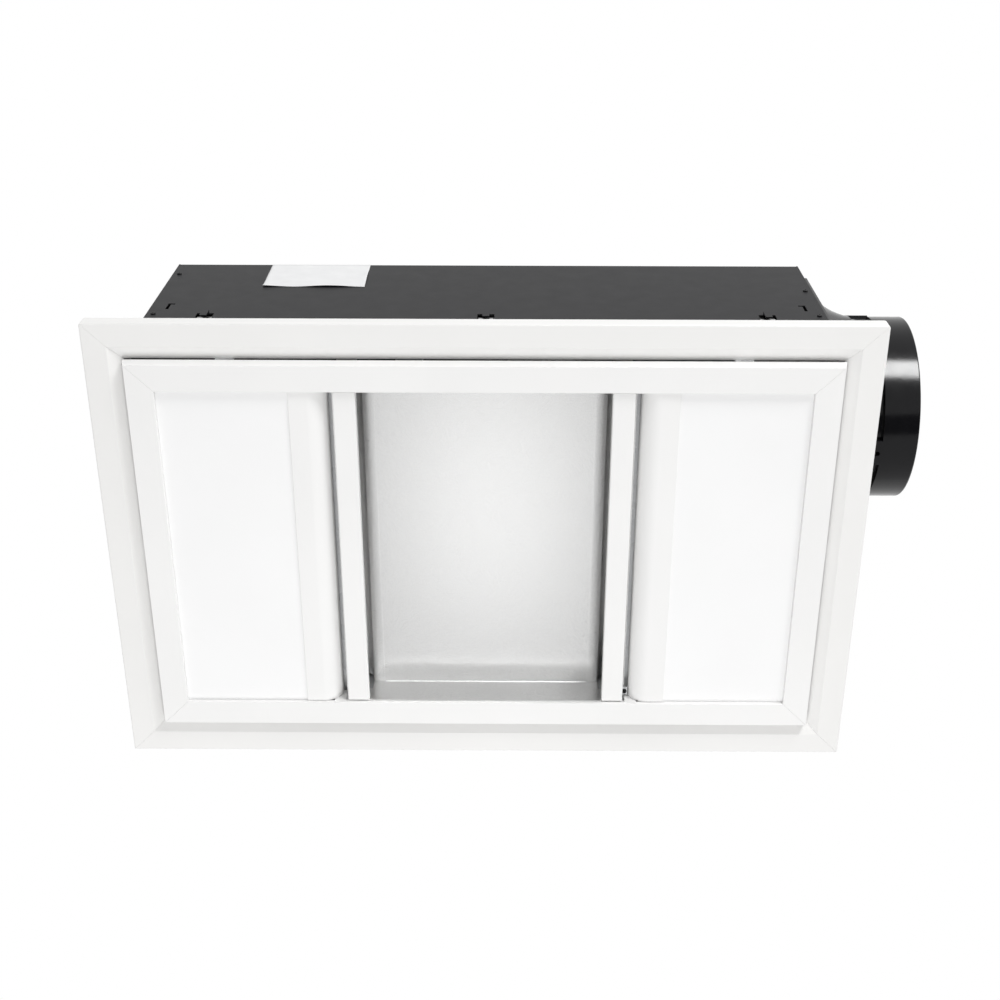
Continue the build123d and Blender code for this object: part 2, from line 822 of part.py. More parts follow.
def end_plate(sign):
    """End wall with flanges folded inwards behind the shell."""
    with BuildPart() as plate:
        with BuildSketch(Plane.YZ.offset(sign * (wall_inner_x + housing_sheet / 2))):
            with Locations((0, (housing_height + housing_seat_gap) / 2)):
                Rectangle(2 * wall_outer_y, housing_height - housing_seat_gap)
        extrude(amount=housing_sheet / 2, both=True)
        flange_mid = sign * (wall_inner_x - end_flange / 2)
        flange_low = trim_upstand + housing_seat_gap
        flange_high = housing_height - housing_sheet
        for sy in (-1, 1):
            with Locations(
                (flange_mid, sy * (wall_inner_y - housing_sheet / 2), (flange_low + flange_high) / 2)
            ):
                Box(end_flange, housing_sheet, flange_high - flange_low)
        with Locations((flange_mid, 0, flange_high - housing_sheet / 2)):
            Box(end_flange, 2 * wall_inner_y, housing_sheet)
        if sign > 0:
            with BuildSketch(Plane.YZ.offset(wall_inner_x - housing_sheet)):
                with Locations(((scroll_outer_y + scroll_mouth_y) / 2, duct_z)):
                    Rectangle(scroll_mouth_y - scroll_outer_y, scroll_height)
            extrude(amount=3 * housing_sheet, mode=Mode.SUBTRACT)
        else:
            with Locations(Location((-wall_inner_x, 0, (box_low + box_high) / 2), (0, 90, 0))):
                Cylinder(gland_radius, 4 * housing_sheet, mode=Mode.SUBTRACT)
        with Locations(*wall_screw_places(), *top_screw_places()):
            Cylinder(screw_hole_radius, 6 * housing_sheet, mode=Mode.SUBTRACT)
        if sign > 0:
            with Locations(*adaptor_screw_places()):
                Cylinder(screw_hole_radius, 4 * adaptor_flange, mode=Mode.SUBTRACT)
    return plate.part


save(end_plate(-1), "housing_end_left")
save(end_plate(1), "housing_end_right")

with BuildPart() as steel_screws:
    with Locations(*wall_screw_places(), *top_screw_places()):
        add(pan_screw(screw_length, screw_head_radius))
    with Locations(*adaptor_screw_places()):
        add(pan_screw(adaptor_flange + housing_sheet, screw_head_radius))
    with Locations(*bar_screw_places()):
        add(pan_screw(bar_bracket_sheet, screw_head_radius))
save(steel_screws.part, "steel_screws")

with BuildPart() as rating_label:
    with BuildSketch(Plane.XZ.offset(wall_outer_y)):
        with BuildLine():
            Polyline(
                (label_left, housing_height - housing_sheet),
                (label_right, housing_height - housing_sheet),
                (label_right, housing_height - housing_sheet - label_height),
                (label_left, housing_height - housing_sheet - label_height),
                close=True,
            )
        make_face()
    extrude(amount=label_thickness)
save(rating_label.part, "rating_label")


def trough(sign):
    """Bent reflector over one heat tube, ending in a rolled hem under the pan."""
    cx = trough_centre_x
    cz = trough_centre_z
    inner = trough_radius
    outer = trough_radius + reflector_sheet
    hem_x = pan_half_width + hem_gap
    hem_low = pan_low - layer_gap - reflector_sheet
    roll_x = cx - inner - shoulder_radius
    roll_low = hem_low + hem_rise
    roll_z = roll_low + shoulder_radius
    roll_in = shoulder_radius - reflector_sheet
    diagonal = sin(pi / 4)
    length = pan_end_inner - trough_gap
    with BuildPart() as sheet:
        with BuildSketch(Plane.XZ):
            with BuildLine():
                Line((sign * (cx + inner), trough_bottom), (sign * (cx + inner), cz))
                ThreePointArc((sign * (cx + inner), cz), (sign * cx, cz + inner), (sign * (cx - inner), cz))
                Line((sign * (cx - inner), cz), (sign * (cx - inner), roll_z))
                ThreePointArc(
                    (sign * (cx - inner), roll_z),
                    (sign * (roll_x + shoulder_radius * diagonal), roll_z - shoulder_radius * diagonal),
                    (sign * roll_x, roll_low),
                )
                Line((sign * roll_x, roll_low), (sign * hem_flat_end, hem_low))
                Line((sign * hem_flat_end, hem_low), (sign * hem_x, hem_low))
                Line((sign * hem_x, hem_low), (sign * hem_x, hem_low + reflector_sheet))
                Line(
                    (sign * hem_x, hem_low + reflector_sheet),
                    (sign * hem_flat_end, hem_low + reflector_sheet),
                )
                Line(
                    (sign * hem_flat_end, hem_low + reflector_sheet),
                    (sign * roll_x, roll_low + reflector_sheet),
                )
                ThreePointArc(
                    (sign * roll_x, roll_low + reflector_sheet),
                    (sign * (roll_x + roll_in * diagonal), roll_z - roll_in * diagonal),
                    (sign * (roll_x + roll_in), roll_z),
                )
                Line((sign * (roll_x + roll_in), roll_z), (sign * (cx - outer), cz))
                ThreePointArc((sign * (cx - outer), cz), (sign * cx, cz + outer), (sign * (cx + outer), cz))
                Line((sign * (cx + outer), cz), (sign * (cx + outer), trough_bottom))
                Line((sign * (cx + outer), trough_bottom), (sign * (cx + inner), trough_bottom))
            make_face()
        extrude(amount=length, both=True)
    return sheet.part


save(trough(-1), "reflector_trough_left")
save(trough(1), "reflector_trough_right")

# Central reflector pan: flat sheet folded down at both ends to the opening's edge
pan_top = pan_low + reflector_sheet
with BuildPart() as reflector_pan:
    with Locations((0, 0, (heat_box_end_bottom + pan_top) / 2)):
        Box(2 * pan_half_width, 2 * pan_end_outer, pan_top - heat_box_end_bottom)
    fillet(reflector_pan.edges().filter_by(Axis.X).group_by(Axis.Z)[-1], pan_bend + reflector_sheet)
    open_sides = reflector_pan.faces().filter_by(Axis.X) + reflector_pan.faces().sort_by(Axis.Z)[:1]
    offset(amount=-reflector_sheet, openings=open_sides)
    ledge_y = pan_end_inner - pan_bend
    with Locations((0, 0, pan_low + reflector_sheet / 2)):
        Box(2 * (pan_half_width + pan_ledge), 2 * ledge_y, reflector_sheet)
    cheek_edge = trough_centre_x - trough_radius
    for sy in (-1, 1):
        end_mid = sy * (pan_end_inner + pan_end_outer) / 2
        with Locations((0, end_mid, (heat_box_end_bottom + pan_end_rise) / 2)):
            Box(2 * trough_outer_x, reflector_sheet, pan_end_rise - heat_box_end_bottom)
        for sx in (-1, 1):
            with Locations(
                (
                    sx * (pan_half_width + cheek_edge) / 2,
                    end_mid,
                    (heat_box_end_bottom + pan_low) / 2,
                )
            ):
                Box(cheek_edge - pan_half_width, reflector_sheet, pan_low - heat_box_end_bottom)
save(reflector_pan.part, "reflector_pan")

# Heat box: folded shield over the reflector, with holes for the tubes in its ends
with BuildPart() as heat_box:
    box_tall = heat_box_top - heat_box_bottom
    heat_box_outer_y = heat_box_end_y + heat_box_sheet
    with Locations((0, 0, heat_box_bottom + box_tall / 2)):
        Box(2 * heat_box_half_x, 2 * heat_box_outer_y, box_tall)
    with Locations((0, 0, heat_box_bottom + box_tall / 2 - heat_box_sheet)):
        Box(2 * (heat_box_half_x - heat_box_sheet), 2 * heat_box_end_y, box_tall, mode=Mode.SUBTRACT)
    flange_reach = heat_box_half_x - trough_outer_x - trough_gap
    for sx in (-1, 1):
        with Locations(
            (sx * (heat_box_half_x - flange_reach / 2), 0, heat_box_bottom + heat_box_sheet / 2)
        ):
            Box(flange_reach, 2 * heat_box_outer_y, heat_box_sheet)
    for sy in (-1, 1):
        with Locations(
            (
                0,
                sy * (heat_box_end_y + heat_box_sheet / 2),
                (heat_box_bottom + heat_box_end_bottom) / 2,
            )
        ):
            Box(2 * trough_outer_x, heat_box_sheet, heat_box_bottom - heat_box_end_bottom)
    with Locations(*[Location((sx * trough_centre_x, 0, tube_z), (90, 0, 0)) for sx in (-1, 1)]):
        Cylinder(tube_radius + tube_hole_gap, 3 * heat_box_outer_y, mode=Mode.SUBTRACT)
save(heat_box.part, "heat_box")


def glare_bar(sign):
    """Open-backed channel that hides one heat tube."""
    mid = sign * bar_mid
    with BuildPart() as bar:
        with BuildSketch(Plane.XZ):
            with Locations((mid, (bar_front + bar_back) / 2)):
                Rectangle(bar_width, bar_depth)
        extrude(amount=opening_y - bar_end_gap, both=True)
        front_edges = bar.edges().filter_by(Axis.Y).group_by(Axis.Z)[0]
        fillet(front_edges, bar_edge_radius)
        with BuildSketch(Plane.XZ):
            with Locations((mid, (bar_front + bar_back) / 2 + bar_wall)):
                Rectangle(bar_width - 2 * bar_wall, bar_depth)
        extrude(amount=opening_y, both=True, mode=Mode.SUBTRACT)
    return bar.part


save(glare_bar(-1), "glare_bar_left")
save(glare_bar(1), "glare_bar_right")

# Angle brackets from the bars to the heat box ends, one with an ear in the slot
ear_reach = profile_slot_edge - bar_bracket_gap - bar_mid
with BuildPart() as bar_brackets:
    for sx in (-1, 1):
        for sy in (-1, 1):
            with Locations(
                (
                    sx * bar_mid,
                    sy * (bracket_end_y - bar_bracket_foot / 2),
                    bar_back + bar_bracket_sheet / 2,
                )
            ):
                Box(bar_width - 2 * bar_bracket_edge, bar_bracket_foot, bar_bracket_sheet)
            with Locations(
                (
                    sx * bar_mid,
                    sy * (bracket_end_y - bar_bracket_sheet / 2),
                    bar_back + bar_bracket_rise / 2,
                )
            ):
                Box(bar_bracket_width, bar_bracket_sheet, bar_bracket_rise)
    with Locations((bar_mid + ear_reach / 2, bar_screw_y, bar_back + bar_bracket_sheet / 2)):
        Box(ear_reach, bar_ear_width, bar_bracket_sheet)
    with Locations(*bar_screw_places()):
        Cylinder(screw_hole_radius, 4 * bar_bracket_sheet, mode=Mode.SUBTRACT)
save(bar_brackets.part, "bar_brackets")


def heat_tube(sign):
    """Quartz tube, held at both ends in ceramic caps."""
    with BuildPart() as tube:
        with Locations(Location((sign * trough_centre_x, 0, tube_z), (90, 0, 0))):
            Cylinder(tube_radius, 2 * tube_end)
            Cylinder(tube_radius - tube_wall, 2 * tube_end, mode=Mode.SUBTRACT)
    return tube.part


cap_face = heat_box_end_y + heat_box_sheet + cap_clearance
tube_end = cap_face + cap_socket - cap_clearance
save(heat_tube(-1), "heat_tube_left")
save(heat_tube(1), "heat_tube_right")

with BuildPart() as heating_elements:
    with Locations(*[Location((sx * trough_centre_x, 0, tube_z), (90, 0, 0)) for sx in (-1, 1)]):
        Cylinder(filament_radius, 2 * (tube_end + filament_reach))
save(heating_elements.part, "heating_elements")

with BuildPart() as tube_end_caps:
    for sx in (-1, 1):
        for sy in (-1, 1):
            with Locations((sx * trough_centre_x, sy * (cap_face + cap_length / 2), tube_z)):
                Box(cap_width, cap_length, cap_height)
    fillet(tube_end_caps.edges().filter_by(Axis.Y), cap_corner)
    with Locations(*[Location((sx * trough_centre_x, 0, tube_z), (90, 0, 0)) for sx in (-1, 1)]):
        Cylinder(tube_radius + cap_clearance, 2 * (cap_face + cap_socket), mode=Mode.SUBTRACT)
        Cylinder(filament_radius + cap_clearance, 2 * (tube_end + filament_reach + 1), mode=Mode.SUBTRACT)
save(tube_end_caps.part, "tube_end_caps")

# Straps that hang the heat box between the long walls
with BuildPart() as heater_hangers:
    strap_end = wall_inner_y - layer_gap
    for sx in (-1, 1):
        with Locations((sx * hanger_x, 0, heat_box_top + hanger_sheet / 2)):
            Box(hanger_width, 2 * strap_end, hanger_sheet)
        for sy in (-1, 1):
            with Locations(
                (sx * hanger_x, sy * (strap_end - hanger_sheet / 2), heat_box_top + hanger_turn_up / 2)
            ):
                Box(hanger_width, hanger_sheet, hanger_turn_up)
save(heater_hangers.part, "heater_hangers")

with BuildPart() as thermal_cutout:
    with Locations((cutout_x, 0, heat_box_top)):
        Cylinder(cutout_radius, cutout_height, align=(Align.CENTER, Align.CENTER, Align.MIN))
        Box(3 * cutout_radius, cutout_radius, cutout_tab, align=(Align.CENTER, Align.CENTER, Align.MIN))
    with Locations((cutout_x, 0, heat_box_top + cutout_height)):
        with GridLocations(cutout_radius, 1, 2, 1):
            Box(
                cutout_blade_thickness,
                cutout_blade,
                cutout_blade,
                align=(Align.CENTER, Align.CENTER, Align.MIN),
            )
save(thermal_cutout.part, "thermal_cutout")

# Blower scroll, an even spiral from the cut-off round to the outlet
scroll_end_x = wall_inner_x - scroll_end_gap
scroll_start_radius = impeller_radius + scroll_cutoff_gap
scroll_finish_radius = impeller_y - scroll_outer_y
scroll_finish_angle = 270.0


def scroll_point(angle):
    share = (angle - scroll_cutoff_angle) / (scroll_finish_angle - scroll_cutoff_angle)
    radius = scroll_start_radius + (scroll_finish_radius - scroll_start_radius) * share
    return (impeller_x + radius * cos(radians(angle)), impeller_y + radius * sin(radians(angle)))


def scroll_outline(grow):
    """Air passage of the scroll, grown by a wall thickness."""
    step = (scroll_cutoff_angle - scroll_finish_angle) / scroll_segments
    with BuildSketch() as outline:
        with BuildLine():
            Line((scroll_end_x, scroll_outer_y), scroll_point(scroll_finish_angle))
            for index in range(scroll_segments):
                angle = scroll_finish_angle + index * step
                middle = scroll_point(angle + step / 2)
                ThreePointArc(scroll_point(angle), middle, scroll_point(angle + step))
            Line(scroll_point(scroll_cutoff_angle), (scroll_end_x, scroll_mouth_y))
            Line((scroll_end_x, scroll_mouth_y), (scroll_end_x, scroll_outer_y))
        make_face()
        if grow:
            offset(amount=grow, kind=Kind.INTERSECTION)
            with Locations((scroll_end_x + grow, duct_y)):
                Rectangle(2 * grow, 4 * half_w, mode=Mode.SUBTRACT)
    return outline.sketch


with BuildPart() as scroll_base:
    with BuildSketch(Plane.XY.offset(scroll_low)):
        add(scroll_outline(scroll_sheet))
        with Locations((impeller_x, impeller_y)):
            Circle(inlet_radius, mode=Mode.SUBTRACT)
    extrude(amount=scroll_sheet)
    with BuildSketch(Plane.XY.offset(scroll_low - inlet_lip)):
        with Locations((impeller_x, impeller_y)):
            Circle(inlet_radius + scroll_sheet)
            Circle(inlet_radius, mode=Mode.SUBTRACT)
    extrude(amount=inlet_lip)
save(scroll_base.part, "scroll_base")

with BuildPart() as scroll_band:
    with BuildSketch(Plane.XY.offset(scroll_low + scroll_sheet)):
        add(scroll_outline(scroll_sheet))
        add(scroll_outline(0), mode=Mode.SUBTRACT)
    extrude(amount=scroll_height - 2 * scroll_sheet)
save(scroll_band.part, "scroll_band")

with BuildPart() as scroll_cover:
    with BuildSketch(Plane.XY.offset(scroll_high - scroll_sheet)):
        add(scroll_outline(scroll_sheet))
        with Locations((impeller_x, impeller_y)):
            Circle(hub_radius, mode=Mode.SUBTRACT)
    extrude(amount=scroll_sheet)
save(scroll_cover.part, "scroll_cover")

# Impeller with forward-curved blades between a hub plate and a ring
impeller_low = scroll_low + scroll_sheet + impeller_floor_gap
impeller_high = impeller_low + impeller_height
blade_length = impeller_radius - impeller_inner
with BuildPart() as impeller:
    with BuildSketch(Plane.XY.offset(impeller_high - impeller_plate)):
        with Locations((impeller_x, impeller_y)):
            Circle(impeller_radius)
    extrude(amount=impeller_plate)
    with BuildSketch(Plane.XY.offset(impeller_low)):
        with Locations((impeller_x, impeller_y)):
            Circle(impeller_radius)
            Circle(impeller_inner, mode=Mode.SUBTRACT)
    extrude(amount=impeller_plate)
    with BuildSketch(Plane.XY.offset(impeller_low + impeller_plate / 2)):
        with Locations((impeller_x, impeller_y)):
            with PolarLocations((impeller_radius + impeller_inner) / 2, blade_count):
                Rectangle(blade_length, blade_thickness, rotation=blade_angle)
    extrude(amount=impeller_height - impeller_plate)
    with BuildSketch(Plane.XY.offset(impeller_high - hub_length)):
        with Locations((impeller_x, impeller_y)):
            Circle(hub_radius)
    extrude(amount=hub_length)
    with BuildSketch(Plane.XY.offset(impeller_low)):
        with Locations((impeller_x, impeller_y)):
            Circle(shaft_radius + pin_hole_clearance)
    extrude(amount=impeller_height, mode=Mode.SUBTRACT)
save(impeller.part, "impeller")

shaft_low = impeller_high - hub_length - shaft_overhang
shaft_high = scroll_high + motor_height
with BuildPart() as motor_shaft:
    with BuildSketch(Plane.XY.offset(shaft_low)):
        with Locations((impeller_x, impeller_y)):
            Circle(shaft_radius)
    extrude(amount=shaft_high - shaft_low)
save(motor_shaft.part, "motor_shaft")

with BuildPart() as fan_motor:
    with BuildSketch(Plane.XY.offset(scroll_high)):
        with Locations((impeller_x, impeller_y)):
            Circle(motor_radius)
            with PolarLocations(motor_radius, motor_fin_count):
                Rectangle(2 * motor_fin_depth, motor_fin_width, mode=Mode.SUBTRACT)
    extrude(amount=motor_height)
    with BuildSketch(Plane.XY.offset(scroll_high + motor_height)):
        with Locations((impeller_x, impeller_y)):
            Circle(motor_cap_radius)
    extrude(amount=motor_cap_height)
    with BuildSketch(Plane.XY.offset(scroll_high)):
        with Locations((impeller_x, impeller_y)):
            Circle(shaft_radius + shaft_clearance)
    extrude(amount=motor_height + shaft_end_gap, mode=Mode.SUBTRACT)
save(fan_motor.part, "fan_motor")

with BuildPart() as fan_grommets:
    with Locations(*[(x, y, scroll_high) for x, y in fan_posts]):
        Cylinder(grommet_radius, grommet_height, align=(Align.CENTER, Align.CENTER, Align.MIN))
save(fan_grommets.part, "fan_grommets")

with BuildPart() as fan_hanger_posts:
    post_low = scroll_high + grommet_height
    with Locations(*[(x, y, post_low) for x, y in fan_posts]):
        Cylinder(
            fan_post_radius,
            housing_height - housing_sheet - post_low,
            align=(Align.CENTER, Align.CENTER, Align.MIN),
        )
save(fan_hanger_posts.part, "fan_hanger_posts")


def duct_disc(low_x, high_x, radius):
    """Disc across the duct between two X positions."""
    with BuildPart() as disc:
        with BuildSketch(Plane.YZ.offset(low_x)):
            with Locations((duct_y, duct_z)):
                Circle(radius)
        extrude(amount=high_x - low_x)
    return disc.part


def transition_solid(wall):
    """Rectangle to circle with flat sides and coned corners, shrunk by a wall thickness."""
    end_radius = adaptor_end_radius - wall
    flat = adaptor_flat_angle
    with BuildPart() as blend:
        with BuildSketch(Plane.YZ.offset(transition_start)):
            with Locations((duct_y, duct_z)):
                RectangleRounded(
                    2 * (adaptor_base_half_y - wall),
                    2 * (adaptor_base_half_z - wall),
                    adaptor_base_corner - wall,
                )
        with BuildSketch(Plane.YZ.offset(transition_end)):
            with BuildLine():
                for quarter in range(4):
                    CenterArc((duct_y, duct_z), end_radius, 90 * quarter - flat, 2 * flat)
                    CenterArc((duct_y, duct_z), end_radius, 90 * quarter + flat, 90 - 2 * flat)
            make_face()
        loft(ruled=True)
    return blend.part


# Duct adaptor: flange, square-to-round transition, shoulder and neck
transition_start = adaptor_x + adaptor_flange
transition_end = transition_start + adaptor_run
flap_x = transition_end + flap_plane
pivot_z = duct_z + flap_pivot_rise
bore = neck_outer - adaptor_wall
shoulder_end = transition_end + adaptor_wall
neck_end = transition_end + neck_length
stop_face = flap_x - flap_thickness / 2 - stop_gap
with BuildPart() as duct_adaptor:
    with BuildSketch(Plane.YZ.offset(adaptor_x)):
        with Locations((duct_y, duct_z)):
            RectangleRounded(2 * adaptor_flange_half_y, 2 * adaptor_flange_half_z, adaptor_corner)
            RectangleRounded(
                2 * (adaptor_base_half_y - adaptor_wall),
                2 * (adaptor_base_half_z - adaptor_wall),
                adaptor_base_corner - adaptor_wall,
                mode=Mode.SUBTRACT,
            )
    extrude(amount=adaptor_flange)
    add(transition_solid(0))
    add(transition_solid(adaptor_wall), mode=Mode.SUBTRACT)
    add(duct_disc(transition_end, shoulder_end, adaptor_end_radius))
    add(duct_disc(shoulder_end, neck_end, neck_outer))
    add(duct_disc(transition_end, neck_end, bore), mode=Mode.SUBTRACT)
    add(duct_disc(stop_face - stop_thickness, stop_face, bore))
    add(duct_disc(stop_face - stop_thickness, stop_face, bore - stop_radial), mode=Mode.SUBTRACT)
    with Locations((stop_face - stop_thickness, duct_y, pivot_z - stop_cut_below)):
        Box(
            stop_thickness,
            2 * (bore - stop_cut_inset),
            neck_outer,
            align=(Align.MIN, Align.CENTER, Align.MIN),
            mode=Mode.SUBTRACT,
        )
    with Locations(Location((flap_x, duct_y, pivot_z), (90, 0, 0))):
        Cylinder(pin_radius + pin_hole_clearance, 4 * neck_outer, mode=Mode.SUBTRACT)
    with Locations(*adaptor_screw_places()):
        Cylinder(screw_hole_radius, 4 * adaptor_flange, mode=Mode.SUBTRACT)
save(duct_adaptor.part, "duct_adaptor")

# Spigot collar with lugs that reach back over the neck
ring_start = adaptor_x + spigot_start
ring_end = adaptor_x + spigot_end
lug_start = shoulder_end + lug_end_gap
lug_radius = spigot_radius + lug_rise
with BuildPart() as duct_spigot:
    add(duct_disc(ring_start, ring_end, spigot_radius))
    add(duct_disc(ring_start + spigot_wall, ring_end, spigot_radius - spigot_wall), mode=Mode.SUBTRACT)
    fillet(duct_spigot.edges().filter_by(GeomType.CIRCLE).group_by(Axis.X)[-1], spigot_rim_radius)
    for index in range(lug_count):
        turn = lug_first_angle + index * 360 / lug_count
        with BuildSketch(Plane.YZ.offset(lug_start)):
            with Locations((duct_y, duct_z)):
                Circle(lug_radius)
                Circle(lug_radius - lug_thickness, mode=Mode.SUBTRACT)
            with Locations(Location((duct_y, duct_z), turn)):
                Rectangle(
                    2 * lug_radius,
                    lug_width,
                    align=(Align.MIN, Align.CENTER),
                    mode=Mode.INTERSECT,
                )
        extrude(amount=ring_start - lug_start)
        hole_y = duct_y + spigot_radius * cos(radians(turn))
        hole_z = duct_z + spigot_radius * sin(radians(turn))
        hole_plane = Plane(
            origin=(ring_start - lug_hole_from_ring, hole_y, hole_z),
            z_dir=(0, cos(radians(turn)), sin(radians(turn))),
        )
        with Locations(hole_plane.location):
            Cylinder(lug_hole_radius, 4 * lug_thickness, mode=Mode.SUBTRACT)
    add(duct_disc(ring_start, ring_start + spigot_wall, neck_outer + spigot_neck_gap), mode=Mode.SUBTRACT)
save(duct_spigot.part, "duct_spigot")

# Backdraft flap and its pin
with BuildPart() as damper_flap:
    add(duct_disc(flap_x - flap_thickness / 2, flap_x + flap_thickness / 2, flap_radius))
    with Locations(Location((flap_x, duct_y, pivot_z), (90, 0, 0))):
        Cylinder(flap_barrel_radius, 2 * flap_barrel_half)
        Cylinder(pin_radius + pin_clearance, 4 * flap_radius, mode=Mode.SUBTRACT)
save(damper_flap.part, "damper_flap")

with BuildPart() as damper_pin:
    with Locations(Location((flap_x, duct_y, pivot_z), (90, 0, 0))):
        Cylinder(pin_radius, 2 * (sqrt(neck_outer**2 - flap_pivot_rise**2) - pin_end_inset))
save(damper_pin.part, "damper_pin")

# Wiring box on the left end wall, with its terminals, cover and cable gland
box_left = -wall_inner_x
box_right = box_left + box_depth
box_mid_z = (box_low + box_high) / 2
gland_z = box_mid_z
terminal_x = box_left + terminal_inset
with BuildPart() as wiring_box:
    with Locations(((box_left + box_right) / 2, 0, box_mid_z)):
        Box(box_depth, 2 * box_half_y, box_high - box_low)
    with Locations(((box_left + box_right) / 2 + box_wall, 0, box_mid_z)):
        Box(box_depth, 2 * (box_half_y - box_wall), box_high - box_low - 2 * box_wall, mode=Mode.SUBTRACT)
    with Locations(Location((box_left, 0, gland_z), (0, 90, 0))):
        Cylinder(gland_radius, 4 * box_wall, mode=Mode.SUBTRACT)
save(wiring_box.part, "wiring_box")

with BuildPart() as wiring_cover:
    with BuildSketch(Plane.YZ.offset(box_right)):
        with Locations((0, box_mid_z)):
            RectangleRounded(2 * box_half_y, box_high - box_low, box_wall)
    extrude(amount=box_wall)
save(wiring_cover.part, "wiring_cover")

with BuildPart() as terminal_block:
    with Locations((terminal_x, 0, box_low + box_wall)):
        Box(
            terminal_depth,
            terminal_count * terminal_pitch,
            terminal_height,
            align=(Align.CENTER, Align.CENTER, Align.MIN),
        )
    with Locations((terminal_x, 0, box_low + box_wall + terminal_height)):
        with GridLocations(terminal_depth / 2, terminal_pitch, 2, terminal_count):
            Cylinder(terminal_hole, terminal_height / 2, mode=Mode.SUBTRACT)
save(terminal_block.part, "terminal_block")

with BuildPart() as cable_gland:
    with BuildSketch(Plane.YZ.offset(-wall_outer_x)):
        with Locations((0, gland_z)):
            Circle(gland_radius - pin_clearance)
    extrude(amount=gland_length)
    with BuildSketch(Plane.YZ.offset(-wall_outer_x - gland_flange)):
        with Locations((0, gland_z)):
            RegularPolygon(gland_flange_radius, 6)
    extrude(amount=gland_flange)
    with BuildSketch(Plane.YZ.offset(-wall_outer_x - gland_flange - gland_nose)):
        with Locations((0, gland_z)):
            Circle(gland_radius)
    extrude(amount=gland_nose)
    with BuildSketch(Plane.YZ.offset(-wall_outer_x - gland_flange - gland_nose)):
        with Locations((0, gland_z)):
            Circle(gland_bore)
    extrude(amount=gland_length + gland_flange + gland_nose, mode=Mode.SUBTRACT)
save(cable_gland.part, "cable_gland")

ceiling_inside = housing_height - housing_sheet
with BuildPart() as led_driver:
    with Locations((driver_x, driver_y, ceiling_inside - driver_height / 2)):
        Box(driver_length, driver_width, driver_height)
    fillet(led_driver.edges().filter_by(Axis.Z), driver_corner)
save(led_driver.part, "led_driver")

with BuildPart() as fan_capacitor:
    with Locations((capacitor_x, capacitor_y, ceiling_inside - capacitor_saddle / 2)):
        Box(capacitor_length, 2 * capacitor_radius, capacitor_saddle)
    capacitor_z = ceiling_inside - capacitor_saddle / 2 - capacitor_radius
    with Locations(Location((capacitor_x, capacitor_y, capacitor_z), (0, 90, 0))):
        Cylinder(capacitor_radius, capacitor_length)
save(fan_capacitor.part, "fan_capacitor")


def wire(*points):
    """Round wire along straight runs with bent corners."""
    with BuildPart() as run:
        with BuildLine() as route:
            FilletPolyline(*points, radius=wire_bend)
        with BuildSketch(Plane(origin=route.line @ 0, z_dir=route.line % 0)):
            Circle(wire_radius)
        sweep()
    return run.part


wire_start = box_right + box_wall + wire_gap
wire_turn_x = wire_start + wire_turn_run
wire_high = box_low + wire_box_rise
wire_bus_z = tube_z + wire_bus_rise
wire_drop_y = cap_face + cap_length / 2
motor_wire_z = scroll_high + motor_wire_rise
cap_top = tube_z + cap_height / 2 + wire_gap
with BuildPart() as wiring_loom:
    for sy in (-1, 1):
        add(
            wire(
                (wire_start, sy * wire_start_y, wire_high),
                (wire_turn_x, sy * wire_start_y, wire_high),
                (-trough_centre_x, sy * wire_drop_y, wire_high),
                (-trough_centre_x, sy * wire_drop_y, cap_top),
            )
        )
        add(
            wire(
                (-trough_centre_x, sy * wire_drop_y, wire_bus_z),
                (trough_centre_x, sy * wire_drop_y, wire_bus_z),
                (trough_centre_x, sy * wire_drop_y, cap_top),
            )
        )
    add(
        wire(
            (wire_start, 0, motor_wire_z),
            (0, 0, motor_wire_z),
            (impeller_x - motor_radius - wire_gap, impeller_y, motor_wire_z),
        )
    )
save(wiring_loom.part, "wiring_loom")
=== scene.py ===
"""Looks of the bathroom ceiling heater, fan and light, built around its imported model.

Metres. The origin is the centre of the trim's back face, +Z runs up into the
roof space, the fascia faces -Z and the duct collar points along +X.
"""
import json
from math import cos, pi, radians, sin

import bpy
from mathutils import Matrix, Vector


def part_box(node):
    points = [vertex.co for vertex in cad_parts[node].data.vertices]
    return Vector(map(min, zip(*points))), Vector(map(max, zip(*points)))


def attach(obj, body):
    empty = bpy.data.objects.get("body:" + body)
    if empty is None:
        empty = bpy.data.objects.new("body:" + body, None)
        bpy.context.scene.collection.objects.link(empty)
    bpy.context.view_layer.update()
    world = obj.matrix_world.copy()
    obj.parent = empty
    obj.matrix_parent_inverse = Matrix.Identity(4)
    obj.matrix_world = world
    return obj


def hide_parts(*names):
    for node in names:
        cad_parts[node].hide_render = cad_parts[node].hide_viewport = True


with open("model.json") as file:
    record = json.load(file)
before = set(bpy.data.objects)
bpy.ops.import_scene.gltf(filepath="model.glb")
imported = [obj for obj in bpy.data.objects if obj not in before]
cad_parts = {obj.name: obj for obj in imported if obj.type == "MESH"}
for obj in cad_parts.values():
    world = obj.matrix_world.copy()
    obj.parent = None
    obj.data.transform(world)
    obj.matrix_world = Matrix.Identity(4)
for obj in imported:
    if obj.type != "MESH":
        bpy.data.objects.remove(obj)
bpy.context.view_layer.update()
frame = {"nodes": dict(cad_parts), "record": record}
nodes = frame["nodes"]
slots = {entry["node"]: entry["material_slot"] for entry in frame["record"]["subparts"]}
scene = bpy.context.scene
scene.view_settings.view_transform = "Standard"

# Camera, as found from the photo's edges
camera_place = (0.01736, -0.55521, -1.03133)
camera_yaw = -0.598
camera_pitch = 63.5255
camera_roll = 0.7657
camera_lens = 52.476
camera_sensor = 36.0
camera_reach = 100.0

